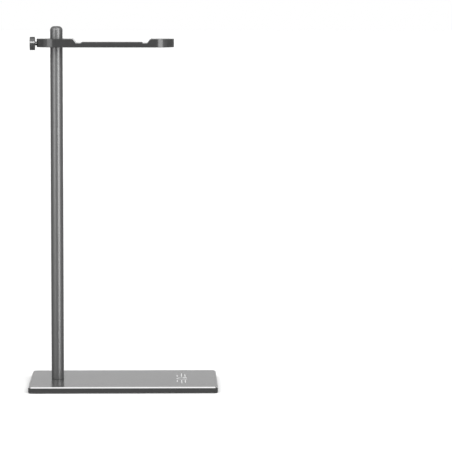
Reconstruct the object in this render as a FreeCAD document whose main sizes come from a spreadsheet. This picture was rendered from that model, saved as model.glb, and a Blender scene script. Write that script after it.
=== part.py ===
"""Headphone stand: a flat base plate, a round pole and an arm that slides and swivels on it.

Units are millimetres and +Z is up. The origin is on the table under the middle of the base, +X
points from the pole towards the free end of the arm, and the pole stands near the base's rear edge.
The clamp screw's pieces are drawn along their own Z axis, measured outwards from the pole's axis,
and their placements turn that axis to the rear.
"""
import FreeCAD, Part

import os
import re
import Sketcher

# Driving dimensions, one spreadsheet row each: alias, value in mm (or a plain count), meaning.
DIMENSIONS = [
    ("base_length", 160.0, "base plate, rear edge to front edge"),
    ("base_width", 99.0, "base plate, side to side"),
    ("base_plate_thickness", 4.9, "metal of the base plate"),
    ("base_corner_radius", 4.0, "base plate corners in plan"),
    ("base_top_bevel", 0.95, "bright-cut bevel round the top"),
    ("base_bottom_bevel", 0.2, "broken edge round the underside"),
    ("base_pad_thickness", 0.5, "non-slip sheet under the plate"),
    ("base_film_thickness", 0.1, "adhesive film of the non-slip sheet"),
    ("base_pad_inset", 0.4, "non-slip sheet, back from the plate's edge"),
    ("screw_access_radius", 6.0, "hole in the non-slip sheet for the hex key"),
    ("pole_setback", 23.4, "pole axis, in from the rear edge"),
    ("pole_radius", 5.3, "outside of the pole"),
    ("pole_bore_radius", 4.0, "inside of the pole tube"),
    ("pole_height", 302.0, "pole top above the base plate's top face"),
    ("gasket_thickness", 0.5, "washer between pole and plate"),
    ("cap_height", 4.2, "visible part of the pole cap"),
    ("cap_rounding", 3.4, "rounded shoulder of the pole cap"),
    ("cap_plug_length", 8.0, "plug of the cap inside the tube"),
    ("cap_plug_lead", 0.4, "lead-in at the plug's end"),
    ("cap_hollow_radius", 2.4, "hollow in the plug"),
    ("cap_roof", 1.2, "plug above its hollow, below the seam"),
    ("foot_slug_length", 16.0, "threaded slug in the foot of the tube"),
    ("foot_slug_lead", 0.5, "lead-in at the slug's top"),
    ("foot_slug_spare", 1.5, "tapped hole past the screw's end"),
    ("pole_screw_radius", 2.5, "thread of the pole screw"),
    ("pole_screw_head_radius", 4.6, "countersunk head"),
    ("pole_screw_recess", 0.15, "head below the plate's underside"),
    ("pole_screw_rim", 0.4, "cylindrical rim of the head"),
    ("pole_screw_reach", 13.0, "thread past the plate's top face"),
    ("pole_screw_tip", 0.6, "chamfer at the end of the thread"),
    ("pole_screw_clearance", 0.25, "radial clearance of the hole in the plate"),
    ("pole_key_flat", 3.0, "hexagon socket across flats"),
    ("pole_key_depth", 1.6, "depth of the hexagon socket"),
    ("arm_top_height", 297.0, "top of the arm above the table"),
    ("arm_thickness", 7.2, "hub and front block"),
    ("arm_floor_thickness", 3.6, "web of the arm under the headband"),
    ("hub_radius", 16.7, "rounded rear end, concentric with the pole"),
    ("front_radius", 16.2, "rounded front end"),
    ("arm_reach", 99.9, "pole axis to the tip of the arm"),
    ("saddle_rear_top", 14.1, "where the hub's flat top ends"),
    ("saddle_rear_foot", 16.9, "foot of the hub's slope"),
    ("saddle_front_foot", 77.0, "foot of the front block's slope"),
    ("saddle_front_top", 79.9, "where the front block's flat top begins"),
    ("saddle_shoulder_rounding", 2.4, "rounded top of the slopes"),
    ("arm_edge_break", 0.25, "small chamfer on the arm's outline"),
    ("saddle_pad_rear", 21.2, "rear end of the saddle pad"),
    ("saddle_pad_front", 73.1, "front end of the saddle pad"),
    ("saddle_pad_width", 26.0, "saddle pad, side to side"),
    ("saddle_pad_corner", 3.0, "saddle pad corners in plan"),
    ("saddle_pad_proud", 0.65, "pad top above the web"),
    ("saddle_pad_pocket", 1.0, "depth of the pocket in the web"),
    ("saddle_film_thickness", 0.15, "adhesive film of the saddle pad"),
    ("saddle_pad_gap", 0.1, "pad to pocket wall"),
    ("running_gap", 0.05, "radial clearance of everything that turns or slides"),
    ("sleeve_wall", 1.35, "split nylon sleeve in the hub"),
    ("sleeve_slot", 1.2, "slot that lets the sleeve close on the pole"),
    ("sleeve_bead_height", 0.5, "snap bead round the sleeve"),
    ("sleeve_bead_proud", 0.35, "snap bead, out from the sleeve"),
    ("sleeve_bead_base", 0.45, "snap bead above the sleeve's lower end"),
    ("sleeve_end_gap", 0.05, "sleeve ends, inside the hub's faces"),
    ("stud_radius", 2.0, "thread of the clamp screw"),
    ("clamp_drop", 0.6, "clamp axis below the middle of the hub"),
    ("stud_neck_radius", 1.65, "plain neck of the clamp screw"),
    ("stud_chamfer", 0.4, "lead-in of the clamp screw's thread"),
    ("stud_shank_radius", 1.9, "shank pressed into the knob"),
    ("stud_shank_length", 2.9, "shank inside the knob"),
    ("stud_hole_spare", 0.1, "blind hole in the knob, past the shank"),
    ("insert_wall", 0.4, "wire thread insert in the arm"),
    ("insert_recess", 0.4, "insert below the hub's rear face"),
    ("insert_start", 8.4, "inner end of the insert from the pole axis"),
    ("thread_runout", 0.3, "taper from thread to neck"),
    ("neck_length", 1.4, "gap between hub and knob"),
    ("knob_radius", 5.7, "turned knob"),
    ("knob_thickness", 4.4, "turned knob"),
    ("knob_bevel", 0.25, "knob edges"),
    ("knob_dish_radius", 3.7, "shallow dish in the knob's outer face"),
    ("knob_dish_depth", 0.5, "shallow dish in the knob's outer face"),
    ("clamp_pad_radius", 1.9, "pressure pad on the stud's tip"),
    ("clamp_pad_face", 6.8, "pad face from the pole axis"),
    ("clamp_pad_length", 1.55, "pressure pad, face to back"),
    ("clamp_pad_bevel", 0.2, "edges of the pad and of the pilot"),
    ("tip_radius", 1.1, "pilot on the stud that carries the pad"),
    ("tip_depth", 0.75, "pilot inside the pad"),
]

DOC = FreeCAD.newDocument("headphone_stand")
SHEET = DOC.addObject("Spreadsheet::Sheet", "Sizes")
PARTS = {}


def fill_sheet():
    """One row per dimension: meaning, value, alias."""
    for row, (alias, value, meaning) in enumerate(DIMENSIONS, start=1):
        SHEET.set(f"A{row}", meaning)
        SHEET.set(f"B{row}", str(value))
        SHEET.setAlias(f"B{row}", alias)
    DOC.recompute()


def sized(expression):
    """The expression with every alias written as a cell of the sheet."""
    aliases = "|".join(alias for alias, _, _ in DIMENSIONS)
    return re.sub(rf"\b({aliases})\b", r"Sizes.\1", expression)


def value_of(expression):
    """The expression's value with the sheet's present numbers."""
    return float(SHEET.evalExpression(expression))


# Expressions that several pieces share.
POLE_X = "pole_setback - base_length / 2"
PLATE_BOTTOM = "base_pad_thickness + base_film_thickness"
PLATE_TOP = "base_pad_thickness + base_film_thickness + base_plate_thickness"
POLE_FOOT = f"{PLATE_TOP} + gasket_thickness"
CAP_SEAM = f"{PLATE_TOP} + pole_height - cap_height"
ARM_BOTTOM = "arm_top_height - arm_thickness"
CLAMP_HEIGHT = "arm_top_height - arm_thickness / 2 - clamp_drop"
SLEEVE_INNER = "pole_radius + running_gap"
SLEEVE_OUTER = "pole_radius + running_gap + sleeve_wall"
HUB_BORE = f"{SLEEVE_OUTER} + running_gap"
INSERT_INNER = "stud_radius + running_gap"
INSERT_OUTER = "stud_radius + running_gap + insert_wall"
KNOB_FACE = "hub_radius + neck_length"
SADDLE_FLOOR = "arm_floor_thickness"
POCKET_FLOOR = "arm_floor_thickness - saddle_pad_pocket"


# ---------------------------------------------------------------- drawing helpers

def new_body(node, x="0", y="0", z="0", to_the_rear=False):
    """An empty body whose origin sits at the given expressions, in the stand's frame."""
    body = DOC.addObject("PartDesign::Body", node)
    body.Label = node
    if to_the_rear:
        body.Placement.Rotation = FreeCAD.Rotation(FreeCAD.Vector(0, 1, 0), -90)
    for direction, expression in (("x", x), ("y", y), ("z", z)):
        body.setExpression(f"Placement.Base.{direction}", sized(expression))
    PARTS[node] = body
    return body


def new_sketch(body, name, plane):
    """A sketch on one of the body's own origin planes: XY_Plane, XZ_Plane or YZ_Plane."""
    sketch = body.newObject("Sketcher::SketchObject", name)
    support = next(item for item in body.Origin.OriginFeatures if item.Role == plane)
    sketch.AttachmentSupport = (support, [""])
    sketch.MapMode = "FlatFace"
    return sketch


def bind(sketch, constraint, name, expression):
    """Adds a named constraint and ties it to the sheet."""
    index = sketch.addConstraint(constraint)
    sketch.renameConstraint(index, name)
    sketch.setExpression(f"Constraints.{name}", sized(expression))


def place_point(sketch, geometry, vertex, name, x, y):
    """Dimensions one vertex from the sketch's origin."""
    for kind, expression, tail in (("DistanceX", x, "x"), ("DistanceY", y, "y")):
        constraint = Sketcher.Constraint(kind, -1, 1, geometry, vertex, value_of(expression))
        bind(sketch, constraint, f"{name}_{tail}", expression)


def polygon_sketch(body, name, plane, corners):
    """A closed outline of straight lines through corners, each an (x, y) pair of expressions."""
    sketch = new_sketch(body, name, plane)
    points = [FreeCAD.Vector(value_of(x), value_of(y), 0) for x, y in corners]
    for start, end in zip(points, points[1:] + points[:1]):
        sketch.addGeometry(Part.LineSegment(start, end), False)
    count = len(corners)
    for index, (x, y) in enumerate(corners):
        sketch.addConstraint(Sketcher.Constraint("Coincident", index, 1, (index - 1) % count, 2))
        place_point(sketch, index, 1, f"corner{index}", x, y)
    return sketch


def circle_sketch(body, name, plane, radii, x="0", y="0"):
    """Concentric circles with the given radii, all centred on (x, y)."""
    sketch = new_sketch(body, name, plane)
    centre = FreeCAD.Vector(value_of(x), value_of(y), 0)
    for index, radius in enumerate(radii):
        circle = Part.Circle(centre, FreeCAD.Vector(0, 0, 1), value_of(radius))
        sketch.addGeometry(circle, False)
        place_point(sketch, index, 3, f"centre{index}", x, y)
        constraint = Sketcher.Constraint("Radius", index, value_of(radius))
        bind(sketch, constraint, f"radius{index}", radius)
    return sketch


def rectangle_corners(length, width, x="0"):
    """The corners of a rectangle that is centred on (x, 0)."""
    return [
        (f"{x} - ({length}) / 2", f"0 - ({width}) / 2"),
        (f"{x} + ({length}) / 2", f"0 - ({width}) / 2"),
        (f"{x} + ({length}) / 2", f"({width}) / 2"),
        (f"{x} - ({length}) / 2", f"({width}) / 2"),
    ]


def extrude(body, kind, sketch, length=None, upwards=True, midplane=False):
    """A Pad or a Pocket of the sketch, upwards along the sketch's normal unless told otherwise."""
    before = body.Shape.Volume if body.Tip else 0.0
    feature = body.newObject(f"PartDesign::{kind}", f"{kind}_{sketch.Name}")
    feature.Profile = sketch
    if length is None:
        feature.Type = "ThroughAll"
    else:
        feature.setExpression("Length", sized(length))
    feature.Midplane = midplane
    feature.Reversed = upwards if kind == "Pocket" else not upwards
    sketch.Visibility = False
    DOC.recompute()
    return changed(body, feature, before, grows=(kind == "Pad"))


def turn(body, kind, sketch, axis="V_Axis"):
    """A full Revolution or Groove of the sketch about one of its axes."""
    before = body.Shape.Volume if body.Tip else 0.0
    feature = body.newObject(f"PartDesign::{kind}", f"{kind}_{sketch.Name}")
    feature.Profile = sketch
    feature.ReferenceAxis = (sketch, [axis])
    feature.Angle = 360.0
    sketch.Visibility = False
    DOC.recompute()
    return changed(body, feature, before, grows=(kind == "Revolution"))


def changed(body, feature, before, grows):
    """Stops the build when a feature added or removed nothing."""
    after = feature.Shape.Volume
    if (after <= before) if grows else (after >= before):
        raise RuntimeError(f"{body.Label}: {feature.Name} left the volume at {after:.2f}")
    return feature


def dress(body, kind, size, chosen):
    """A Fillet or a Chamfer on the edges of the body's tip that chosen(edge) accepts."""
    tip = body.Tip
    names = [f"Edge{i}" for i, edge in enumerate(tip.Shape.Edges, start=1) if chosen(edge)]
    if not names:
        raise RuntimeError(f"{body.Label}: no edge for the {kind.lower()}")
    feature = body.newObject(f"PartDesign::{kind}", f"{kind}_{size}_{len(body.Group)}")
    feature.Base = (tip, names)
    feature.setExpression("Radius" if kind == "Fillet" else "Size", sized(size))
    DOC.recompute()
    return feature


def at_height(expression):
    """Accepts edges that lie wholly at one height of the body."""
    height = value_of(expression)

    def test(edge):
        box = edge.BoundBox
        return abs(box.ZMin - height) < 1e-4 and abs(box.ZMax - height) < 1e-4

    return test


def upright(edge):
    """Accepts straight edges parallel to Z."""
    box = edge.BoundBox
    return box.XLength < 1e-6 and box.YLength < 1e-6 and box.ZLength > 1e-6


def ring(node, inner, outer, height, **place):
    """A plain ring, standing on the body's XY plane."""
    body = new_body(node, **place)
    sketch = circle_sketch(body, f"{node}_plan", "XY_Plane", [inner, outer])
    extrude(body, "Pad", sketch, height)
    return body


def rounded_sheet(node, length, width, corner, height, **place):
    """A rectangular sheet with rounded corners, standing on the body's XY plane."""
    body = new_body(node, **place)
    corners = rectangle_corners(length, width)
    sketch = polygon_sketch(body, f"{node}_plan", "XY_Plane", corners)
    extrude(body, "Pad", sketch, height)
    dress(body, "Fillet", corner, upright)
    return body


# ---------------------------------------------------------------- base

def base_plate():
    """The weighty rectangular plate, with a bright-cut bevel and a countersunk hole under the pole."""
    body = rounded_sheet(
        "base_plate", "base_length", "base_width", "base_corner_radius",
        "base_plate_thickness", z=PLATE_BOTTOM,
    )
    dress(body, "Chamfer", "base_top_bevel", at_height("base_plate_thickness"))
    dress(body, "Chamfer", "base_bottom_bevel", at_height("0"))
    hole = "pole_screw_radius + pole_screw_clearance"
    mouth = "pole_screw_head_radius + pole_screw_clearance"
    cone = "pole_screw_recess + pole_screw_rim - pole_screw_clearance"
    neck = f"{cone} + pole_screw_head_radius - pole_screw_radius"
    outline = [
        (POLE_X, "-1"),
        (f"{POLE_X} + {mouth}", "-1"),
        (f"{POLE_X} + {mouth}", cone),
        (f"{POLE_X} + {hole}", neck),
        (f"{POLE_X} + {hole}", "base_plate_thickness + 1"),
        (POLE_X, "base_plate_thickness + 1"),
    ]
    sketch = polygon_sketch(body, "countersink", "XZ_Plane", outline)
    add_axis(sketch, POLE_X)
    turn(body, "Groove", sketch, axis="Axis0")


def add_axis(sketch, x):
    """A construction line parallel to the sketch's Y axis, to turn an outline about."""
    low = FreeCAD.Vector(value_of(x), 0, 0)
    high = FreeCAD.Vector(value_of(x), 10, 0)
    index = sketch.addGeometry(Part.LineSegment(low, high), True)
    place_point(sketch, index, 1, "axis_low", x, "0")
    place_point(sketch, index, 2, "axis_high", x, "10")


def base_sheet(node, height, z):
    """The non-slip sheet or its adhesive film, with the hole for the hex key."""
    body = rounded_sheet(
        node,
        "base_length - 2 * base_pad_inset",
        "base_width - 2 * base_pad_inset",
        "base_corner_radius - base_pad_inset",
        height,
        z=z,
    )
    hole = circle_sketch(body, f"{node}_access", "XY_Plane", ["screw_access_radius"], x=POLE_X)
    extrude(body, "Pocket", hole)


def base_pad():
    """The silicone sheet that the stand rests on."""
    base_sheet("base_pad", "base_pad_thickness", "0")


def base_pad_film():
    """The double-sided film that holds the silicone sheet."""
    base_sheet("base_pad_film", "base_film_thickness", "base_pad_thickness")


# ---------------------------------------------------------------- pole

def pole_screw():
    """Countersunk hexagon-socket screw from under the plate into the pole's foot."""
    body = new_body("pole_screw", x=POLE_X, z=PLATE_BOTTOM)
    head_end = "pole_screw_recess + pole_screw_rim + pole_screw_head_radius - pole_screw_radius"
    thread_end = "base_plate_thickness + gasket_thickness + pole_screw_reach"
    outline = [
        ("0", "pole_screw_recess"),
        ("pole_screw_head_radius", "pole_screw_recess"),
        ("pole_screw_head_radius", "pole_screw_recess + pole_screw_rim"),
        ("pole_screw_radius", head_end),
        ("pole_screw_radius", f"{thread_end} - pole_screw_tip"),
        ("pole_screw_radius - pole_screw_tip", thread_end),
        ("0", thread_end),
    ]
    turn(body, "Revolution", polygon_sketch(body, "screw_outline", "XZ_Plane", outline))
    corner = "pole_key_flat / 2 / cos(30)"
    hexagon = [
        (f"{corner} * cos({60 * step})", f"{corner} * sin({60 * step})") for step in range(6)
    ]
    socket = polygon_sketch(body, "key_socket", "XY_Plane", hexagon)
    extrude(body, "Pocket", socket, "pole_screw_recess + pole_key_depth")


def foot_gasket():
    """Thin black washer that keeps the pole's end off the plate's finish."""
    ring(
        "foot_gasket", "pole_screw_radius + pole_screw_clearance", "pole_radius",
        "gasket_thickness", x=POLE_X, z=PLATE_TOP,
    )


def pole_tube():
    """The long round tube."""
    height = f"{CAP_SEAM} - ({POLE_FOOT})"
    ring("pole_tube", "pole_bore_radius", "pole_radius", height, x=POLE_X, z=POLE_FOOT)


def pole_foot_slug():
    """Threaded steel slug pressed into the foot of the tube."""
    body = new_body("pole_foot_slug", x=POLE_X, z=POLE_FOOT)
    thread_depth = "pole_screw_reach + foot_slug_spare"
    outline = [
        ("pole_screw_radius", "0"),
        ("pole_bore_radius", "0"),
        ("pole_bore_radius", "foot_slug_length - foot_slug_lead"),
        ("pole_bore_radius - foot_slug_lead", "foot_slug_length"),
        ("0", "foot_slug_length"),
        ("0", thread_depth),
        ("pole_screw_radius", thread_depth),
    ]
    turn(body, "Revolution", polygon_sketch(body, "slug_outline", "XZ_Plane", outline))


def pole_cap():
    """Rounded plug that closes the top of the tube."""
    body = new_body("pole_cap", x=POLE_X, z=CAP_SEAM)
    outline = [
        ("cap_hollow_radius", "0 - cap_plug_length"),
        ("pole_bore_radius - cap_plug_lead", "0 - cap_plug_length"),
        ("pole_bore_radius", "2 * cap_plug_lead - cap_plug_length"),
        ("pole_bore_radius", "0"),
        ("pole_radius", "0"),
        ("pole_radius", "cap_height"),
        ("0", "cap_height"),
        ("0", "0 - cap_roof"),
        ("cap_hollow_radius", "0 - cap_roof"),
    ]
    turn(body, "Revolution", polygon_sketch(body, "cap_outline", "XZ_Plane", outline))
    dress(body, "Fillet", "cap_rounding", at_height("cap_height"))


def hub_sleeve():
    """Split nylon sleeve between the hub and the pole, kept in the hub by a snap bead."""
    body = new_body("hub_sleeve", x=POLE_X, z=ARM_BOTTOM)
    bead = f"{SLEEVE_OUTER} + sleeve_bead_proud"
    outline = [
        (SLEEVE_INNER, "sleeve_end_gap"),
        (SLEEVE_OUTER, "sleeve_end_gap"),
        (SLEEVE_OUTER, "sleeve_bead_base"),
        (bead, "sleeve_bead_base"),
        (bead, "sleeve_bead_base + sleeve_bead_height"),
        (SLEEVE_OUTER, "sleeve_bead_base + sleeve_bead_height"),
        (SLEEVE_OUTER, "arm_thickness - sleeve_end_gap"),
        (SLEEVE_INNER, "arm_thickness - sleeve_end_gap"),
    ]
    turn(body, "Revolution", polygon_sketch(body, "sleeve_outline", "XZ_Plane", outline))
    slot = rectangle_corners("hub_radius", "sleeve_slot", x="hub_radius / 2")
    extrude(body, "Pocket", polygon_sketch(body, "sleeve_slit", "XY_Plane", slot))


# ---------------------------------------------------------------- arm

def arm_plan(body):
    """Two round ends joined by their common tangents."""
    sketch = new_sketch(body, "arm_plan", "XY_Plane")
    hub = value_of("hub_radius")
    front = value_of("front_radius")
    spacing = value_of("arm_reach - front_radius")
    cosine = (hub - front) / spacing
    sine = (1 - cosine * cosine) ** 0.5
    lean = FreeCAD.Vector(cosine, sine, 0)
    mirrored = FreeCAD.Vector(cosine, -sine, 0)
    middle = FreeCAD.Vector(spacing, 0, 0)
    hub_arc = Part.Arc(lean * hub, FreeCAD.Vector(-hub, 0, 0), mirrored * hub)
    front_tip = FreeCAD.Vector(spacing + front, 0, 0)
    front_arc = Part.Arc(middle + mirrored * front, front_tip, middle + lean * front)
    near_side = Part.LineSegment(mirrored * hub, middle + mirrored * front)
    far_side = Part.LineSegment(middle + lean * front, lean * hub)
    for geometry in (hub_arc, near_side, front_arc, far_side):
        sketch.addGeometry(geometry, False)
    for first, second in ((0, 1), (1, 2), (2, 3), (3, 0)):
        sketch.addConstraint(Sketcher.Constraint("Tangent", first, 2, second, 1))
    sketch.addConstraint(Sketcher.Constraint("Coincident", 0, 3, -1, 1))
    sketch.addConstraint(Sketcher.Constraint("PointOnObject", 2, 3, -1))
    bind(sketch, Sketcher.Constraint("Radius", 0, hub), "hub_end", "hub_radius")
    bind(sketch, Sketcher.Constraint("Radius", 2, front), "front_end", "front_radius")
    reach = Sketcher.Constraint("DistanceX", -1, 1, 2, 3, spacing)
    bind(sketch, reach, "spacing", "arm_reach - front_radius")
    return sketch


def cut_saddle(body):
    """The shallow valley between hub and front block, with rounded shoulders."""
    outline = [
        ("saddle_rear_top", "arm_thickness"),
        ("saddle_rear_foot", SADDLE_FLOOR),
        ("saddle_front_foot", SADDLE_FLOOR),
        ("saddle_front_top", "arm_thickness"),
        ("saddle_front_top", "arm_thickness + 2"),
        ("saddle_rear_top", "arm_thickness + 2"),
    ]
    sketch = polygon_sketch(body, "saddle_valley", "XZ_Plane", outline)
    extrude(body, "Pocket", sketch, "3 * hub_radius", midplane=True)
    top = value_of("arm_thickness")
    ends = (value_of("saddle_rear_top"), value_of("saddle_front_top"))

    def shoulder(edge):
        box = edge.BoundBox
        at_end = any(abs(box.XMin - x) < 1e-4 and abs(box.XMax - x) < 1e-4 for x in ends)
        return at_end and abs(box.ZMin - top) < 1e-4 and box.YLength > 1

    dress(body, "Fillet", "saddle_shoulder_rounding", shoulder)


def arm():
    """The metal arm: hub, web with a pocket for the pad, and front block."""
    body = new_body("arm", x=POLE_X, z=ARM_BOTTOM)
    extrude(body, "Pad", arm_plan(body), "arm_thickness")
    cut_saddle(body)
    dress(body, "Chamfer", "arm_edge_break", at_height("0"))
    top = at_height("arm_thickness")
    dress(body, "Chamfer", "arm_edge_break", lambda edge: top(edge) and edge.BoundBox.XLength > 1)
    pocket = rectangle_corners(
        "saddle_pad_front - saddle_pad_rear + 2 * saddle_pad_gap",
        "saddle_pad_width + 2 * saddle_pad_gap",
        x="(saddle_pad_front + saddle_pad_rear) / 2",
    )
    lifted = new_pocket_sketch(body, pocket)
    extrude(body, "Pocket", lifted, "arm_thickness")
    dress(body, "Fillet", "saddle_pad_corner", pocket_corner)
    bore = circle_sketch(body, "hub_bore", "XY_Plane", [HUB_BORE])
    extrude(body, "Pocket", bore)
    cut_bead_groove(body)
    cut_stud_hole(body)


def new_pocket_sketch(body, corners):
    """The pad pocket's outline, at the height of the pocket's floor."""
    sketch = polygon_sketch(body, "pad_pocket", "XY_Plane", corners)
    sketch.setExpression("AttachmentOffset.Base.z", sized(POCKET_FLOOR))
    return sketch


def pocket_corner(edge):
    """Accepts the four upright corners of the pad pocket."""
    height = value_of("saddle_pad_pocket")
    inside = abs(edge.BoundBox.YMax) < value_of("saddle_pad_width") / 2 + 1
    return upright(edge) and inside and abs(edge.BoundBox.ZLength - height) < 1e-4


def cut_bead_groove(body):
    """The groove in the hub's bore that the sleeve's bead snaps into."""
    wall = f"{HUB_BORE} + sleeve_bead_proud"
    outline = [
        ("pole_radius", "sleeve_bead_base - running_gap"),
        (wall, "sleeve_bead_base - running_gap"),
        (wall, "sleeve_bead_base + sleeve_bead_height + running_gap"),
        ("pole_radius", "sleeve_bead_base + sleeve_bead_height + running_gap"),
    ]
    turn(body, "Groove", polygon_sketch(body, "bead_groove", "XZ_Plane", outline))


def cut_stud_hole(body):
    """The stepped hole at the hub's rear: wide for the thread insert, then narrow to the bore."""
    for name, radius, inner_end in (
        ("insert_hole", INSERT_OUTER, "insert_start"),
        ("stud_hole", INSERT_INNER, "pole_radius"),
    ):
        sketch = circle_sketch(body, name, "YZ_Plane", [radius], y="arm_thickness / 2 - clamp_drop")
        sketch.setExpression("AttachmentOffset.Base.z", sized(f"0 - ({inner_end})"))
        extrude(body, "Pocket", sketch, "hub_radius", upwards=False)


def stud_insert():
    """Stainless wire thread insert that the clamp screw runs in."""
    length = "hub_radius - insert_recess - insert_start"
    body = new_body("stud_insert", x=POLE_X, z=CLAMP_HEIGHT, to_the_rear=True)
    sketch = circle_sketch(body, "insert_plan", "XY_Plane", [INSERT_INNER, INSERT_OUTER])
    sketch.setExpression("AttachmentOffset.Base.z", sized("insert_start"))
    extrude(body, "Pad", sketch, length)


def saddle_sheet(node, height, z):
    """The saddle pad or its adhesive film."""
    rounded_sheet(
        node,
        "saddle_pad_front - saddle_pad_rear",
        "saddle_pad_width",
        "saddle_pad_corner - saddle_pad_gap",
        height,
        x=f"{POLE_X} + (saddle_pad_front + saddle_pad_rear) / 2",
        z=z,
    )


def saddle_film():
    """The double-sided film under the saddle pad."""
    saddle_sheet("saddle_film", "saddle_film_thickness", f"{ARM_BOTTOM} + {POCKET_FLOOR}")


def saddle_pad():
    """Silicone inlay that the headband rests on."""
    thickness = "saddle_pad_pocket - saddle_film_thickness + saddle_pad_proud"
    saddle_sheet("saddle_pad", thickness, f"{ARM_BOTTOM} + {POCKET_FLOOR} + saddle_film_thickness")


# ---------------------------------------------------------------- clamp screw

def thumb_knob():
    """Turned knob with a blind hole for the stud and a shallow dish in its outer face."""
    body = new_body("thumb_knob", x=POLE_X, z=CLAMP_HEIGHT, to_the_rear=True)
    outer = f"{KNOB_FACE} + knob_thickness"
    hole_end = f"{KNOB_FACE} + stud_shank_length + stud_hole_spare"
    outline = [
        ("stud_shank_radius", KNOB_FACE),
        ("knob_radius - knob_bevel", KNOB_FACE),
        ("knob_radius", f"{KNOB_FACE} + knob_bevel"),
        ("knob_radius", f"{outer} - knob_bevel"),
        ("knob_radius - knob_bevel", outer),
        ("knob_dish_radius + knob_dish_depth", outer),
        ("knob_dish_radius", f"{outer} - knob_dish_depth"),
        ("0", f"{outer} - knob_dish_depth"),
        ("0", hole_end),
        ("stud_shank_radius", hole_end),
    ]
    turn(body, "Revolution", polygon_sketch(body, "knob_outline", "XZ_Plane", outline))


def thumb_stud():
    """The stud: pilot, thread, plain neck and the shank pressed into the knob."""
    body = new_body("thumb_stud", x=POLE_X, z=CLAMP_HEIGHT, to_the_rear=True)
    shoulder = "clamp_pad_face + clamp_pad_length + running_gap"
    tip = "clamp_pad_face + clamp_pad_length - tip_depth"
    neck = "hub_radius - insert_recess + stud_hole_spare"
    outline = [
        ("0", tip),
        ("tip_radius - clamp_pad_bevel", tip),
        ("tip_radius", f"{tip} + clamp_pad_bevel"),
        ("tip_radius", shoulder),
        ("stud_radius - stud_chamfer", shoulder),
        ("stud_radius", f"{shoulder} + stud_chamfer"),
        ("stud_radius", f"{neck} - thread_runout"),
        ("stud_neck_radius", neck),
        ("stud_neck_radius", KNOB_FACE),
        ("stud_shank_radius", KNOB_FACE),
        ("stud_shank_radius", f"{KNOB_FACE} + stud_shank_length"),
        ("0", f"{KNOB_FACE} + stud_shank_length"),
    ]
    turn(body, "Revolution", polygon_sketch(body, "stud_outline", "XZ_Plane", outline))


def clamp_pad():
    """Nylon pressure pad that stays still while the stud turns in it."""
    body = new_body("clamp_pad", x=POLE_X, z=CLAMP_HEIGHT, to_the_rear=True)
    back = "clamp_pad_face + clamp_pad_length"
    socket = f"{back} - tip_depth - running_gap"
    outline = [
        ("0", "clamp_pad_face"),
        ("clamp_pad_radius - clamp_pad_bevel", "clamp_pad_face"),
        ("clamp_pad_radius", "clamp_pad_face + clamp_pad_bevel"),
        ("clamp_pad_radius", back),
        ("tip_radius + running_gap", back),
        ("tip_radius + running_gap", socket),
        ("0", socket),
    ]
    turn(body, "Revolution", polygon_sketch(body, "pad_outline", "XZ_Plane", outline))


# ---------------------------------------------------------------- build, check, export

def check():
    """Stops before writing when anything failed to compute."""
    for item in DOC.Objects:
        if "Invalid" in item.State or "Error" in item.State:
            raise RuntimeError(f"{item.Name} is {item.State}")
    for node, body in PARTS.items():
        shape = body.Shape
        if shape.isNull() or not shape.isValid() or len(shape.Solids) != 1:
            raise RuntimeError(f"{node} is not one valid solid")


def export():
    """Writes one STEP file for each sub-part."""
    os.makedirs("parts", exist_ok=True)
    for node, body in PARTS.items():
        body.Shape.exportStep(f"parts/{node}.step")


fill_sheet()
for build in (
    base_plate, base_pad, base_pad_film, pole_screw, foot_gasket, pole_tube, pole_foot_slug, pole_cap,
    hub_sleeve, arm, stud_insert, saddle_film, saddle_pad, thumb_knob, thumb_stud, clamp_pad,
):
    build()
DOC.recompute()
check()
export()
for label, part in PARTS.items():
    print(f"{label}: {part.Shape.Volume:.1f} mm3")
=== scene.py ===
"""Looks of the headphone stand: satin dark-grey metal, a bright-cut bevel, silicone and steel.

Everything is in metres in the frame's own axes: +Z up, +X along the arm, origin under the base.
"""
import math

import bmesh
import bpy
from mathutils import Matrix, Vector


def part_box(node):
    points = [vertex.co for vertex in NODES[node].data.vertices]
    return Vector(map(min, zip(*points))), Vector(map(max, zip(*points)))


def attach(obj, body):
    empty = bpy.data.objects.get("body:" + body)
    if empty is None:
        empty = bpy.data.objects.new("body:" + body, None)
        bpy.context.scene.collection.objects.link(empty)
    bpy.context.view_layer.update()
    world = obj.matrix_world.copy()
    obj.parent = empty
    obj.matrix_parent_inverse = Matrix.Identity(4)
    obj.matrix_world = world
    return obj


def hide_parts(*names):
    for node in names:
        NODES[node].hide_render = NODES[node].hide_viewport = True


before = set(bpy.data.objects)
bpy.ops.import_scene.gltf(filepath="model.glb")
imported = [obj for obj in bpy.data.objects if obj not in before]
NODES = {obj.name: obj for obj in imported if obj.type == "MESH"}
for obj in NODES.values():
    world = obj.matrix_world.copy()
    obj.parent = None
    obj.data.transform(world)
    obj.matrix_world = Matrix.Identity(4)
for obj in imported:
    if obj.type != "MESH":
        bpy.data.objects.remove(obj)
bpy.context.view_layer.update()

MM = 0.001
SCENE = bpy.context.scene


# ---------------------------------------------------------------- sizes read from the frame

PLATE_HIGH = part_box("base_plate")[1]
POLE_LOW, POLE_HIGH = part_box("pole_tube")
ARM_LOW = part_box("arm")[0]
PAD_LOW, PAD_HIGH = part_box("saddle_pad")
SHEET_LOW, SHEET_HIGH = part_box("base_pad")
STUD_LOW, STUD_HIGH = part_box("thumb_stud")
KNOB_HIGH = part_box("thumb_knob")[1]
POLE_X = (POLE_LOW.x + POLE_HIGH.x) / 2
CLAMP_Z = (STUD_LOW.z + STUD_HIGH.z) / 2


# ---------------------------------------------------------------- camera

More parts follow.
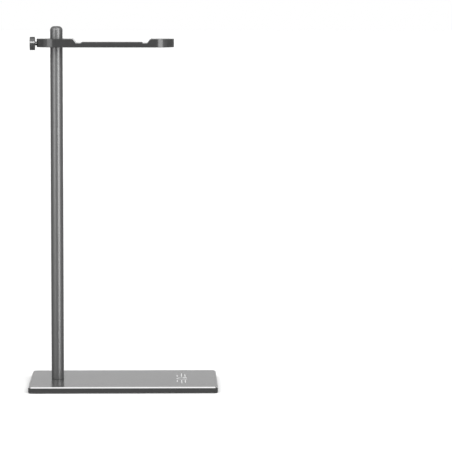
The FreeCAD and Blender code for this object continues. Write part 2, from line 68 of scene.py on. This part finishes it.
CAMERA_PLACE = Vector((0.0306, -2.2900, 0.3492))
CAMERA_HEADING = math.radians(-1.428)
CAMERA_TILT = math.radians(-5.292)
CAMERA_ROLL = math.radians(0.077)
CAMERA_LENS_MM = 214.1
CAMERA_SENSOR_MM = 36.0
CAMERA_REACH = 100.0


def add_camera():
    """A long lens, side on, a little above the arm and looking slightly down."""
    data = bpy.data.cameras.new("camera")
    data.lens = CAMERA_LENS_MM
    data.sensor_width = CAMERA_SENSOR_MM
    data.clip_end = CAMERA_REACH
    camera = bpy.data.objects.new("camera", data)
    turn = Matrix.Rotation(CAMERA_HEADING, 4, "Z")
    tilt = Matrix.Rotation(math.pi / 2 + CAMERA_TILT, 4, "X")
    roll = Matrix.Rotation(CAMERA_ROLL, 4, "Z")
    camera.matrix_world = Matrix.Translation(CAMERA_PLACE) @ turn @ tilt @ roll
    SCENE.collection.objects.link(camera)
    SCENE.camera = camera


# ---------------------------------------------------------------- node helpers

# The colour sockets of a Mix node in RGBA mode, by place, because their names repeat.
MIX_FIRST, MIX_SECOND, MIX_RESULT = 6, 7, 2


class Shader:
    """A material's node tree, with short ways to add and join nodes."""

    def __init__(self, name):
        self.material = bpy.data.materials.new(name)
        self.material.use_nodes = True
        self.tree = self.material.node_tree
        self.surface = self.tree.nodes["Principled BSDF"]
        self.place = self.add("ShaderNodeTexCoord").outputs["Object"]

    def add(self, kind, **settings):
        """A node with its properties set."""
        node = self.tree.nodes.new(kind)
        for name, value in settings.items():
            setattr(node, name, value)
        return node

    def join(self, source, target):
        self.tree.links.new(source, target)

    def noise(self, size, detail=2.0, stretch=(1, 1, 1), roughness=0.5):
        """Noise with grains about size metres across, longer along axes whose stretch is over 1."""
        mapping = self.add("ShaderNodeMapping")
        mapping.inputs["Scale"].default_value = [1 / factor for factor in stretch]
        self.join(self.place, mapping.inputs["Vector"])
        node = self.add("ShaderNodeTexNoise")
        node.inputs["Scale"].default_value = 1 / size
        node.inputs["Detail"].default_value = detail
        node.inputs["Roughness"].default_value = roughness
        self.join(mapping.outputs["Vector"], node.inputs["Vector"])
        return node.outputs["Fac"]

    def spread(self, value, low, high, low_in=0.25, high_in=0.75):
        """Maps a 0 to 1 value on to low to high."""
        node = self.add("ShaderNodeMapRange")
        node.inputs["From Min"].default_value = low_in
        node.inputs["From Max"].default_value = high_in
        node.inputs["To Min"].default_value = low
        node.inputs["To Max"].default_value = high
        self.join(value, node.inputs["Value"])
        return node.outputs["Result"]

    def maths(self, operation, first, second):
        """One Math node; second may be a number."""
        node = self.add("ShaderNodeMath", operation=operation)
        self.join(first, node.inputs[0])
        if isinstance(second, (int, float)):
            node.inputs[1].default_value = second
        else:
            self.join(second, node.inputs[1])
        return node.outputs[0]

    def colour_mix(self, factor, first, second):
        """first where factor is 0 and second where it is 1; each is a colour or a socket."""
        node = self.add("ShaderNodeMix", data_type="RGBA")
        self.join(factor, node.inputs["Factor"])
        for place, value in ((MIX_FIRST, first), (MIX_SECOND, second)):
            socket = node.inputs[place]
            if isinstance(value, (tuple, list)):
                socket.default_value = (*value, 1.0)
            else:
                self.join(value, socket)
        return node.outputs[MIX_RESULT]

    def bump(self, height, strength, distance):
        """Raises the surface by height over distance metres."""
        node = self.add("ShaderNodeBump")
        node.inputs["Strength"].default_value = strength
        node.inputs["Distance"].default_value = distance
        self.join(height, node.inputs["Height"])
        self.join(node.outputs["Normal"], self.surface.inputs["Normal"])

    def set(self, **values):
        """Sets shader sockets, with _ for a space in their names."""
        for name, value in values.items():
            self.surface.inputs[name.replace("_", " ")].default_value = value


def grey(level, tint=0.0):
    """A neutral colour, a little bluer where tint is positive."""
    return (level * (1 - tint), level, level * (1 + tint))


# ---------------------------------------------------------------- materials

CLOUD_SIZE = 30 * MM
GRAIN_SIZE = 0.12 * MM


def satin_metal(name, level, roughness, stretch=(1, 1, 1), ior=1.5):
    """Dark-grey satin finish: faint cloudiness, fine grain and a soft sheen."""
    shader = Shader(name)
    cloud = shader.noise(CLOUD_SIZE, detail=3.0)
    fine = shader.noise(GRAIN_SIZE, detail=2.0, stretch=stretch)
    speck = shader.noise(GRAIN_SIZE * 3, detail=4.0, stretch=stretch)
    tone = shader.colour_mix(shader.spread(cloud, 0, 1), grey(level * 0.96), grey(level * 1.04, 0.01))
    speckled = shader.colour_mix(shader.spread(speck, 0, 0.25), tone, grey(level * 1.35))
    shader.join(speckled, shader.surface.inputs["Base Color"])
    worn = shader.maths("ADD", shader.spread(cloud, -0.008, 0.008), shader.spread(fine, -0.02, 0.02))
    shader.join(shader.maths("ADD", worn, roughness), shader.surface.inputs["Roughness"])
    shader.bump(fine, strength=0.12, distance=0.02 * MM)
    shader.set(IOR=ior)
    return shader


PLATE_LEVEL = 0.064
PLATE_ROUGHNESS = 0.23
CUT_ROUGHNESS = 0.04

# The bright cut is where the upward part of the face's normal is between these.
CUT_SLOPE = (0.35, 0.95)


def plate_metal():
    """The plate's satin finish with a mirror-bright cut along its sloping top edge."""
    shader = satin_metal("plate_metal", PLATE_LEVEL, PLATE_ROUGHNESS)
    facing = shader.add("ShaderNodeSeparateXYZ")
    shader.join(shader.add("ShaderNodeNewGeometry").outputs["True Normal"], facing.inputs[0])
    above = shader.maths("GREATER_THAN", facing.outputs["Z"], CUT_SLOPE[0])
    below = shader.maths("LESS_THAN", facing.outputs["Z"], CUT_SLOPE[1])
    cut = shader.maths("MULTIPLY", above, below)
    base = shader.surface.inputs["Base Color"].links[0].from_socket
    rough = shader.surface.inputs["Roughness"].links[0].from_socket
    streaks = shader.noise(0.2 * MM, stretch=(60, 60, 1))
    bright = shader.colour_mix(shader.spread(streaks, 0, 1), grey(0.84), grey(0.95))
    shader.join(shader.colour_mix(cut, base, bright), shader.surface.inputs["Base Color"])
    shader.join(cut, shader.surface.inputs["Metallic"])
    polished = shader.maths("MULTIPLY_ADD", cut, CUT_ROUGHNESS - PLATE_ROUGHNESS)
    shader.join(rough, polished.node.inputs[2])
    shader.join(polished, shader.surface.inputs["Roughness"])
    return shader.material


def silicone(name, level, roughness):
    """Matt rubber with a fine moulded texture and a little dust."""
    shader = Shader(name)
    texture = shader.noise(0.35 * MM, detail=3.0)
    dust = shader.noise(4 * MM, detail=5.0, roughness=0.65)
    dusty = shader.spread(dust, 0, 0.35, low_in=0.5, high_in=0.8)
    tone = shader.colour_mix(dusty, grey(level), grey(level * 1.6 + 0.01))
    shader.join(tone, shader.surface.inputs["Base Color"])
    shader.join(
        shader.spread(dust, roughness - 0.05, roughness + 0.1),
        shader.surface.inputs["Roughness"],
    )
    shader.bump(texture, strength=0.35, distance=0.04 * MM)
    shader.set(Specular_IOR_Level=0.25, Sheen_Weight=0.03, Sheen_Roughness=0.4)
    return shader.material


def nylon():
    """Moulded black nylon."""
    shader = Shader("nylon_black")
    flow = shader.noise(1.5 * MM, detail=3.0, stretch=(1, 1, 4))
    shader.join(
        shader.colour_mix(shader.spread(flow, 0, 1), grey(0.018), grey(0.030)),
        shader.surface.inputs["Base Color"],
    )
    shader.join(shader.spread(flow, 0.38, 0.52), shader.surface.inputs["Roughness"])
    shader.bump(shader.noise(0.3 * MM), strength=0.2, distance=0.02 * MM)
    return shader.material


def steel(name, level, roughness):
    """Turned steel with fine rings and slight staining."""
    shader = Shader(name)
    rings = shader.noise(0.25 * MM, detail=2.0, stretch=(1, 12, 12))
    stain = shader.noise(3 * MM, detail=4.0)
    tone = shader.colour_mix(shader.spread(stain, 0, 1), grey(level), grey(level * 1.12, 0.01))
    shader.join(tone, shader.surface.inputs["Base Color"])
    shader.join(
        shader.maths("ADD", shader.spread(rings, -0.05, 0.05), roughness),
        shader.surface.inputs["Roughness"],
    )
    shader.bump(rings, strength=0.2, distance=0.01 * MM)
    shader.set(Metallic=1.0)
    return shader.material


def film():
    """Milky double-sided film."""
    shader = Shader("adhesive_film")
    cloud = shader.noise(2 * MM, detail=3.0)
    shader.join(
        shader.colour_mix(shader.spread(cloud, 0, 1), grey(0.40), grey(0.52)),
        shader.surface.inputs["Base Color"],
    )
    shader.join(shader.spread(cloud, 0.3, 0.45), shader.surface.inputs["Roughness"])
    return shader.material


def printed_mark():
    """Pale grey printing ink with a slightly uneven lay."""
    shader = Shader("printed_mark")
    lay = shader.noise(0.4 * MM, detail=3.0)
    shader.join(
        shader.colour_mix(shader.spread(lay, 0, 1), grey(0.40), grey(0.48)),
        shader.surface.inputs["Base Color"],
    )
    shader.join(shader.spread(lay, 0.45, 0.6), shader.surface.inputs["Roughness"])
    return shader.material


def dress(node, material):
    """Gives a CAD node its material."""
    mesh = NODES[node].data
    mesh.materials.clear()
    mesh.materials.append(material)


# ---------------------------------------------------------------- mesh pieces

def new_piece(name, mesh_builder, material, body, replaced=()):
    """An object from a bmesh that mesh_builder fills, riding on a body."""
    mesh = bpy.data.meshes.new(name)
    work = bmesh.new()
    mesh_builder(work)
    bmesh.ops.recalc_face_normals(work, faces=work.faces)
    work.to_mesh(mesh)
    work.free()
    piece = bpy.data.objects.new(name, mesh)
    SCENE.collection.objects.link(piece)
    mesh.materials.append(material)
    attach(piece, body)
    if replaced:
        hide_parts(*replaced)
    return piece


def bridge(work, lower, upper):
    """Quads between two closed rings of vertices with equal counts."""
    count = len(lower)
    for i in range(count):
        j = (i + 1) % count
        work.faces.new((lower[i], lower[j], upper[j], upper[i]))


def rounded_outline(centre, half_x, half_y, radius, steps=10):
    """Points round a rectangle with rounded corners."""
    points = []
    for quarter, (sx, sy) in enumerate(((1, 1), (-1, 1), (-1, -1), (1, -1))):
        for step in range(steps + 1):
            angle = (quarter + step / steps) * math.pi / 2
            x = centre[0] + sx * (half_x - radius) + radius * math.cos(angle)
            y = centre[1] + sy * (half_y - radius) + radius * math.sin(angle)
            points.append((x, y))
    return points


def soft_slab(low, high, corner, edge, crown):
    """A builder for a moulded slab: upright sides, a rounded top edge and a slightly crowned top."""
    centre = ((low.x + high.x) / 2, (low.y + high.y) / 2)
    half = ((high.x - low.x) / 2, (high.y - low.y) / 2)
    edge_steps = 6
    crown_steps = 12
    tightest = 0.05 * MM

    def ring(work, inset, z):
        radius = max(corner - inset, tightest)
        outline = rounded_outline(centre, half[0] - inset, half[1] - inset, radius)
        return [work.verts.new((x, y, z)) for x, y in outline]

    def build(work):
        shoulder = high.z - crown - edge
        rings = [ring(work, 0, low.z), ring(work, 0, shoulder)]
        for step in range(1, edge_steps + 1):
            angle = step / edge_steps * math.pi / 2
            rings.append(ring(work, edge * (1 - math.cos(angle)), shoulder + edge * math.sin(angle)))
        reach = min(half) - edge
        for step in range(1, crown_steps + 1):
            share = step / (crown_steps + 1)
            rise = crown * math.sin(share * math.pi / 2)
            rings.append(ring(work, edge + reach * share, high.z - crown + rise))
        for lower, upper in zip(rings, rings[1:]):
            bridge(work, lower, upper)
        work.faces.new(reversed(rings[0]))
        work.faces.new(rings[-1])

    return build


def pierced_sheet(low, high, corner, edge, hole_x, hole_radius):
    """A builder for a thin moulded sheet with a round hole and rounded lower edges."""
    centre = ((low.x + high.x) / 2, (low.y + high.y) / 2)
    half = ((high.x - low.x) / 2, (high.y - low.y) / 2)
    edge_steps = 4
    bore_points = 64

    def rim(work, inset, z):
        return [
            work.verts.new((x, y, z))
            for x, y in rounded_outline(centre, half[0] - inset, half[1] - inset, corner - inset)
        ]

    def bore(work, flare, z):
        angles = [2 * math.pi * i / bore_points for i in range(bore_points)]
        radius = hole_radius + flare
        return [work.verts.new((hole_x + radius * math.cos(a), radius * math.sin(a), z)) for a in angles]

    def build(work):
        levels = [(edge, low.z)]
        for step in range(1, edge_steps + 1):
            angle = step / edge_steps * math.pi / 2
            levels.append((edge * (1 - math.sin(angle)), low.z + edge * (1 - math.cos(angle))))
        levels.append((0, high.z))
        stacks = [[ring(work, inset, z) for inset, z in levels] for ring in (rim, bore)]
        for stack in stacks:
            for lower, upper in zip(stack, stack[1:]):
                bridge(work, lower, upper)
        for level in (0, -1):
            loops = [stack[level] for stack in stacks]
            edges = [
                work.edges.get((first, second))
                for loop in loops
                for first, second in zip(loop, loop[1:] + loop[:1])
            ]
            bmesh.ops.triangle_fill(work, use_beauty=True, edges=edges)

    return build


THREAD_PITCH = 0.7 * MM
THREAD_DEPTH = 0.38 * MM
THREAD_INNER_RUNOUT = 0.5 * MM
THREAD_OUTER_RUNOUT = 0.4 * MM
STUD_NECK_RADIUS = 1.65 * MM
STUD_PILOT_RADIUS = 1.1 * MM
STUD_PILOT_LENGTH = 0.8 * MM

# How flat the thread is at its root and at its crest, as a share of half its pitch.
THREAD_FLAT = 0.12

# The shank in the knob, as a share of the stud's radius, and the gap from the arm to the first turn.
STUD_SHANK_SHARE = 0.95
STUD_THREAD_INSET = 0.2 * MM


def threaded_stud(work):
    """The clamp stud with a real helical thread, from its pilot to the shank in the knob."""
    segments = 48
    rings_per_turn = 10
    inner = STUD_HIGH.x
    outer = STUD_LOW.x
    major = (STUD_HIGH.z - STUD_LOW.z) / 2
    shank = major * STUD_SHANK_SHARE
    thread_inner = inner - STUD_PILOT_LENGTH
    thread_outer = ARM_LOW.x + STUD_THREAD_INSET

    def radius_at(x, angle):
        if x > thread_inner:
            return STUD_PILOT_RADIUS
        if x < thread_outer:
            return STUD_NECK_RADIUS if x > KNOB_HIGH.x else shank
        phase = (x / THREAD_PITCH + angle / (2 * math.pi)) % 1.0
        flank = abs(phase * 2 - 1)
        crest = min(max((flank - THREAD_FLAT) / (1 - 2 * THREAD_FLAT), 0), 1)
        fade_in = (thread_inner - x) / THREAD_INNER_RUNOUT
        fade_out = (x - thread_outer) / THREAD_OUTER_RUNOUT
        rise = major - STUD_NECK_RADIUS - THREAD_DEPTH * (1 - crest)
        return STUD_NECK_RADIUS + rise * max(min(fade_in, fade_out, 1), 0)

    count = int((inner - outer) / (THREAD_PITCH / rings_per_turn))
    rings = []
    for index in range(count + 1):
        x = inner - (inner - outer) * index / count
        ring = []
        for i in range(segments):
            angle = 2 * math.pi * i / segments
            radius = radius_at(x, angle)
            y, z = radius * math.cos(angle), CLAMP_Z + radius * math.sin(angle)
            ring.append(work.verts.new((x, y, z)))
        rings.append(ring)
    for lower, upper in zip(rings, rings[1:]):
        bridge(work, lower, upper)
    work.faces.new(rings[0])
    work.faces.new(reversed(rings[-1]))


def smooth(piece, angle):
    """Smooth shading, with edges sharper than the angle in degrees kept."""
    mesh = piece.data
    mesh.shade_smooth()
    limit = math.radians(angle)
    work = bmesh.new()
    work.from_mesh(mesh)
    for edge in work.edges:
        edge.smooth = len(edge.link_faces) == 2 and edge.calc_face_angle(0) < limit
    work.to_mesh(mesh)
    work.free()


# ---------------------------------------------------------------- printed mark

MARK_X = PLATE_HIGH.x - 30.2 * MM
MARK_RISE = 0.02 * MM
MARK_BAND_RADIUS = 5.2 * MM
MARK_BAND_WIDTH = 0.9 * MM
MARK_BAND_DROP = 0.6 * MM
MARK_CUP_PLACE = (4.5 * MM, -2.3 * MM)
MARK_CUP_HALF = (1.2 * MM, 2.3 * MM)
MARK_CUP_CORNER = 0.9 * MM
MARK_BAR_HALF = 0.35 * MM
MARK_BAR_CORNER = 0.3 * MM

# Bars on each side of the pictogram, in mm: how far up, nearest end and farthest end.
MARK_BARS = ((3.9, 9.0, 20.0), (0.1, 9.0, 27.5), (-2.9, 9.0, 24.0))


def flat_shape(work, points):
    """One thin printed shape on the plate, from points in mark coordinates (right, up)."""
    z = PLATE_HIGH.z + MARK_RISE
    lower = [work.verts.new((MARK_X - up, right, PLATE_HIGH.z)) for right, up in points]
    upper = [work.verts.new((MARK_X - up, right, z)) for right, up in points]
    bridge(work, lower, upper)
    work.faces.new(upper)
    work.faces.new(reversed(lower))


def band(centre, radius, width, start, end, steps=28):
    """The outline of a stretch of ring, angles in degrees from the right."""
    angles = [math.radians(start + (end - start) * i / steps) for i in range(steps + 1)]
    outer = [(centre[0] + radius * math.cos(a), centre[1] + radius * math.sin(a)) for a in angles]
    slim = radius - width
    inner = [(centre[0] + slim * math.cos(a), centre[1] + slim * math.sin(a)) for a in reversed(angles)]
    return outer + inner


def headphone_mark(work):
    """A plain headphone pictogram between rows of thin bars."""
    flat_shape(work, band((0, -MARK_BAND_DROP), MARK_BAND_RADIUS, MARK_BAND_WIDTH, 0, 180))
    for side in (-1, 1):
        place = (side * MARK_CUP_PLACE[0], MARK_CUP_PLACE[1])
        flat_shape(work, rounded_outline(place, *MARK_CUP_HALF, MARK_CUP_CORNER, steps=6))
        for up, start, end in MARK_BARS:
            centre = (side * (start + end) / 2 * MM, up * MM)
            half = ((end - start) / 2 * MM, MARK_BAR_HALF)
            flat_shape(work, rounded_outline(centre, *half, MARK_BAR_CORNER, steps=4))


# ---------------------------------------------------------------- the stand

SHEET_CORNER = 3.6 * MM
SHEET_EDGE = 0.15 * MM
KEY_HOLE_RADIUS = 6.0 * MM
PAD_CORNER = 2.9 * MM
PAD_EDGE = 0.22 * MM
PAD_CROWN = 0.04 * MM


def dress_stand():
    """A material for every piece, and detailed meshes for the soft and threaded ones."""
    grey_pole = satin_metal(
        "pole_metal", level=0.048, roughness=0.33, stretch=(1, 1, 25), ior=1.78,
    ).material
    grey_arm = satin_metal("arm_metal", level=0.040, roughness=0.19).material
    grey_knob = satin_metal(
        "knob_metal", level=0.032, roughness=0.13, stretch=(1, 8, 8), ior=1.9,
    ).material
    black_nylon = nylon()
    bright_steel = steel("stainless_steel", level=0.45, roughness=0.25)
    black_steel = satin_metal(
        "black_steel", level=0.035, roughness=0.25, stretch=(1, 12, 12), ior=2.0,
    ).material
    zinc = steel("zinc_steel", level=0.55, roughness=0.32)
    clear_film = film()
    dress("base_plate", plate_metal())
    dress("pole_tube", grey_pole)
    dress("pole_cap", grey_pole)
    dress("arm", grey_arm)
    dress("thumb_knob", grey_knob)
    for node in ("foot_gasket", "hub_sleeve", "clamp_pad"):
        dress(node, black_nylon)
    for node in ("pole_screw", "pole_foot_slug"):
        dress(node, zinc)
    dress("stud_insert", bright_steel)
    for node in ("base_pad_film", "saddle_film"):
        dress(node, clear_film)

    sheet = new_piece(
        "base_pad_moulded",
        pierced_sheet(SHEET_LOW, SHEET_HIGH, SHEET_CORNER, SHEET_EDGE, POLE_X, KEY_HOLE_RADIUS),
        silicone("silicone_black", level=0.020, roughness=0.60),
        body="root", replaced=["base_pad"],
    )
    smooth(sheet, angle=50)
    pad = new_piece(
        "saddle_pad_moulded",
        soft_slab(PAD_LOW, PAD_HIGH, PAD_CORNER, PAD_EDGE, PAD_CROWN),
        silicone("silicone_grey", level=0.040, roughness=0.62),
        body="arm", replaced=["saddle_pad"],
    )
    smooth(pad, angle=50)
    stud = new_piece(
        "thumb_stud_threaded", threaded_stud, black_steel,
        body="clamp_screw", replaced=["thumb_stud"],
    )
    smooth(stud, angle=40)
    new_piece("printed_mark", headphone_mark, printed_mark(), body="root")


# ---------------------------------------------------------------- studio

FLOOR_SIZE = 30.0

# How pale the floor is near the soft boxes and far from them, so that it is evenly white when lit,
# and the place, reach and power of the change from one to the other.
FLOOR_NEAR = 0.34
FLOOR_FAR = 0.85
FLOOR_MIDDLE = (0, -0.6, 0)
FLOOR_REACH = 3.2
FLOOR_FADE = 0.5

# What the stand reflects: (sine of the elevation, radiance) pairs on its near side, on its far side
# and straight behind it. Each of the last two takes over from the one before across its own range of
# direction Y.
AROUND = ((0.0, 0.10), (0.25, 0.18), (0.55, 0.80), (0.80, 1.05))
BACK_ROOF = ((0.0, 0.12), (0.25, 0.25), (0.55, 0.38), (0.80, 0.12))
BEHIND = ((0.0, 0.40), (0.15, 0.87), (0.40, 0.55), (0.80, 0.35))
BACK_ROOF_FADE = (0.0, 0.3)
BEHIND_FADE = (0.6, 0.95)

# A white card low behind the stand: its ranges of direction X and Z, its radiance and soft edge.
CARD_X = (-0.10, 0.10)
CARD_Z = (0.006, 0.10)
CARD_RADIANCE = 1.4
CARD_EDGE = 0.004

SKY_STRENGTH = 2.2
SKY_ANGLE = math.radians(120)

# Flat tops mirror the soft boxes when seen from behind: the plate all of them, the arm only those
# that stand well above it. Each box is kept off the pieces that would glare.
PLATE_ONLY = ("base_plate",)
PLATE_AND_ARM = ("base_plate", "arm")

# Upright soft boxes: name, azimuth from the stand's near side, distance from the pole, height of the
# lower and the upper end, width, radiance and the pieces they are kept off.
SOFT_BOXES = (
    ("softbox_left", -39, 0.8, 0.09, 0.38, 0.42, 3.8, PLATE_ONLY),
    ("softbox_left_top", -39, 0.8, 0.38, 1.3, 0.42, 3.8, PLATE_AND_ARM),
    ("softbox_left_low", -39, 0.8, -0.09, 0.09, 0.42, 0.8, PLATE_ONLY),
    ("softbox_left_wing", -66, 0.8, -0.11, 1.3, 0.34, 0.7, PLATE_ONLY),
    ("softbox_right", 38, 0.8, 0.05, 0.38, 0.38, 7.0, PLATE_ONLY),
    ("softbox_right_top", 38, 0.8, 0.38, 1.3, 0.38, 7.0, PLATE_AND_ARM),
    ("softbox_right_low", 38, 0.8, -0.09, 0.05, 0.38, 6.8, PLATE_ONLY),
    ("softbox_right_wing", 64, 0.8, -0.11, 1.3, 0.34, 0.6, PLATE_ONLY),
    ("softbox_front", 2, 1.2, 0.50, 1.25, 0.3, 7.8, PLATE_AND_ARM),
)


def add_floor():
    """A plain pale floor, level with the underside of the stand."""
    mesh = bpy.data.meshes.new("floor")
    work = bmesh.new()
    bmesh.ops.create_grid(work, x_segments=8, y_segments=8, size=FLOOR_SIZE / 2)
    work.to_mesh(mesh)
    work.free()
    floor = bpy.data.objects.new("floor", mesh)
    SCENE.collection.objects.link(floor)
    shader = Shader("floor")
    reach = shader.add("ShaderNodeVectorMath", operation="DISTANCE")
    shader.join(shader.place, reach.inputs[0])
    reach.inputs[1].default_value = FLOOR_MIDDLE
    distance = shader.spread(reach.outputs["Value"], 0, 1, 0, FLOOR_REACH)
    fade = shader.maths("POWER", distance, FLOOR_FADE)
    shader.join(
        shader.colour_mix(fade, grey(FLOOR_NEAR), grey(FLOOR_FAR)),
        shader.surface.inputs["Base Color"],
    )
    shader.set(Roughness=0.9, Specular_IOR_Level=0.0)
    mesh.materials.append(shader.material)
    floor.visible_glossy = False


def flag_off(light, nodes):
    """Keeps a light off some pieces, as flags on stands would."""
    flagged = bpy.data.collections.new(f"{light.name}_flagged")
    for node in nodes:
        flagged.objects.link(NODES[node])
    for member in flagged.collection_objects:
        member.light_linking.link_state = "EXCLUDE"
    light.light_linking.receiver_collection = flagged


def add_soft_box(name, azimuth, distance, low, high, width, radiance, flagged):
    """One upright soft box that faces the pole."""
    tall = high - low
    data = bpy.data.lights.new(name, "AREA")
    data.shape = "RECTANGLE"
    data.size = width
    data.size_y = tall
    data.energy = radiance * math.pi * width * tall
    light = bpy.data.objects.new(name, data)
    angle = math.radians(azimuth)
    target = Vector((POLE_X, 0, (low + high) / 2))
    place = target + Vector((math.sin(angle), -math.cos(angle), 0)) * distance
    light.location = place
    light.rotation_euler = (target - place).to_track_quat("-Z", "Y").to_euler()
    light.visible_camera = False
    SCENE.collection.objects.link(light)
    flag_off(light, flagged)


def add_skylight():
    """Even light from overhead with very soft shadows, which lifts the floor to white."""
    data = bpy.data.lights.new("skylight", "SUN")
    data.energy = SKY_STRENGTH
    data.angle = SKY_ANGLE
    light = bpy.data.objects.new("skylight", data)
    light.visible_glossy = False
    light.visible_camera = False
    SCENE.collection.objects.link(light)


def add_world():
    """White to the eye; in reflections it is bright overhead, grey behind and dark elsewhere."""
    world = bpy.data.worlds.new("studio")
    world.use_nodes = True
    SCENE.world = world
    tree = world.node_tree
    nodes = tree.nodes
    nodes.clear()

    def add(kind, **settings):
        node = nodes.new(kind)
        for name, value in settings.items():
            setattr(node, name, value)
        return node

    def curve(source, points):
        """Levels along a 0 to 1 value, as a grey ramp."""
        node = add("ShaderNodeValToRGB")
        elements = node.color_ramp.elements
        while len(elements) < len(points):
            elements.new(0.5)
        for element, (at, level) in zip(elements, points):
            element.position = at
            element.color = (level, level, level, 1)
        tree.links.new(source, node.inputs["Fac"])
        return node.outputs["Color"]

    def mixed(factor, first, second):
        node = add("ShaderNodeMix", data_type="RGBA")
        for socket, source in (("Factor", factor), (MIX_FIRST, first), (MIX_SECOND, second)):
            tree.links.new(source, node.inputs[socket])
        return node.outputs[MIX_RESULT]

    def ramp(source, low, high):
        """0 below low and 1 above high, smoothly between."""
        node = add("ShaderNodeMapRange", interpolation_type="SMOOTHSTEP")
        node.inputs["From Min"].default_value = low
        node.inputs["From Max"].default_value = high
        tree.links.new(source, node.inputs["Value"])
        return node.outputs["Result"]

    def product(first, second):
        node = add("ShaderNodeMath", operation="MULTIPLY")
        tree.links.new(first, node.inputs[0])
        tree.links.new(second, node.inputs[1])
        return node.outputs[0]

    def within(source, low, high):
        """1 between low and high, fading to 0 at the card's soft edge on both sides."""
        edges = []
        for start, end in ((low - CARD_EDGE, low + CARD_EDGE), (high + CARD_EDGE, high - CARD_EDGE)):
            node = add("ShaderNodeMapRange")
            node.inputs["From Min"].default_value = start
            node.inputs["From Max"].default_value = end
            tree.links.new(source, node.inputs["Value"])
            edges.append(node.outputs["Result"])
        return product(*edges)

    direction = add("ShaderNodeSeparateXYZ")
    tree.links.new(add("ShaderNodeTexCoord").outputs["Generated"], direction.inputs[0])
    across, away, up = (direction.outputs[axis] for axis in "XYZ")
    rear = ramp(away, *BEHIND_FADE)
    roof = mixed(ramp(away, *BACK_ROOF_FADE), curve(up, AROUND), curve(up, BACK_ROOF))
    level = mixed(rear, roof, curve(up, BEHIND))
    card = product(product(within(across, *CARD_X), within(up, *CARD_Z)), rear)
    white = add("ShaderNodeRGB").outputs[0]
    white.default_value = (CARD_RADIANCE, CARD_RADIANCE, CARD_RADIANCE, 1)
    studio = add("ShaderNodeBackground")
    tree.links.new(mixed(card, level, white), studio.inputs["Color"])
    seen = add("ShaderNodeBackground")
    seen.inputs["Color"].default_value = (1, 1, 1, 1)
    ray = add("ShaderNodeLightPath")
    mix = add("ShaderNodeMixShader")
    tree.links.new(ray.outputs["Is Camera Ray"], mix.inputs["Fac"])
    tree.links.new(studio.outputs[0], mix.inputs[1])
    tree.links.new(seen.outputs[0], mix.inputs[2])
    tree.links.new(mix.outputs[0], add("ShaderNodeOutputWorld").inputs["Surface"])


def add_studio():
    """Floor, soft boxes and world, with tones shown as they are."""
    add_floor()
    add_world()
    add_skylight()
    for soft_box in SOFT_BOXES:
        add_soft_box(*soft_box)
    SCENE.view_settings.view_transform = "Standard"


add_camera()
dress_stand()
add_studio()
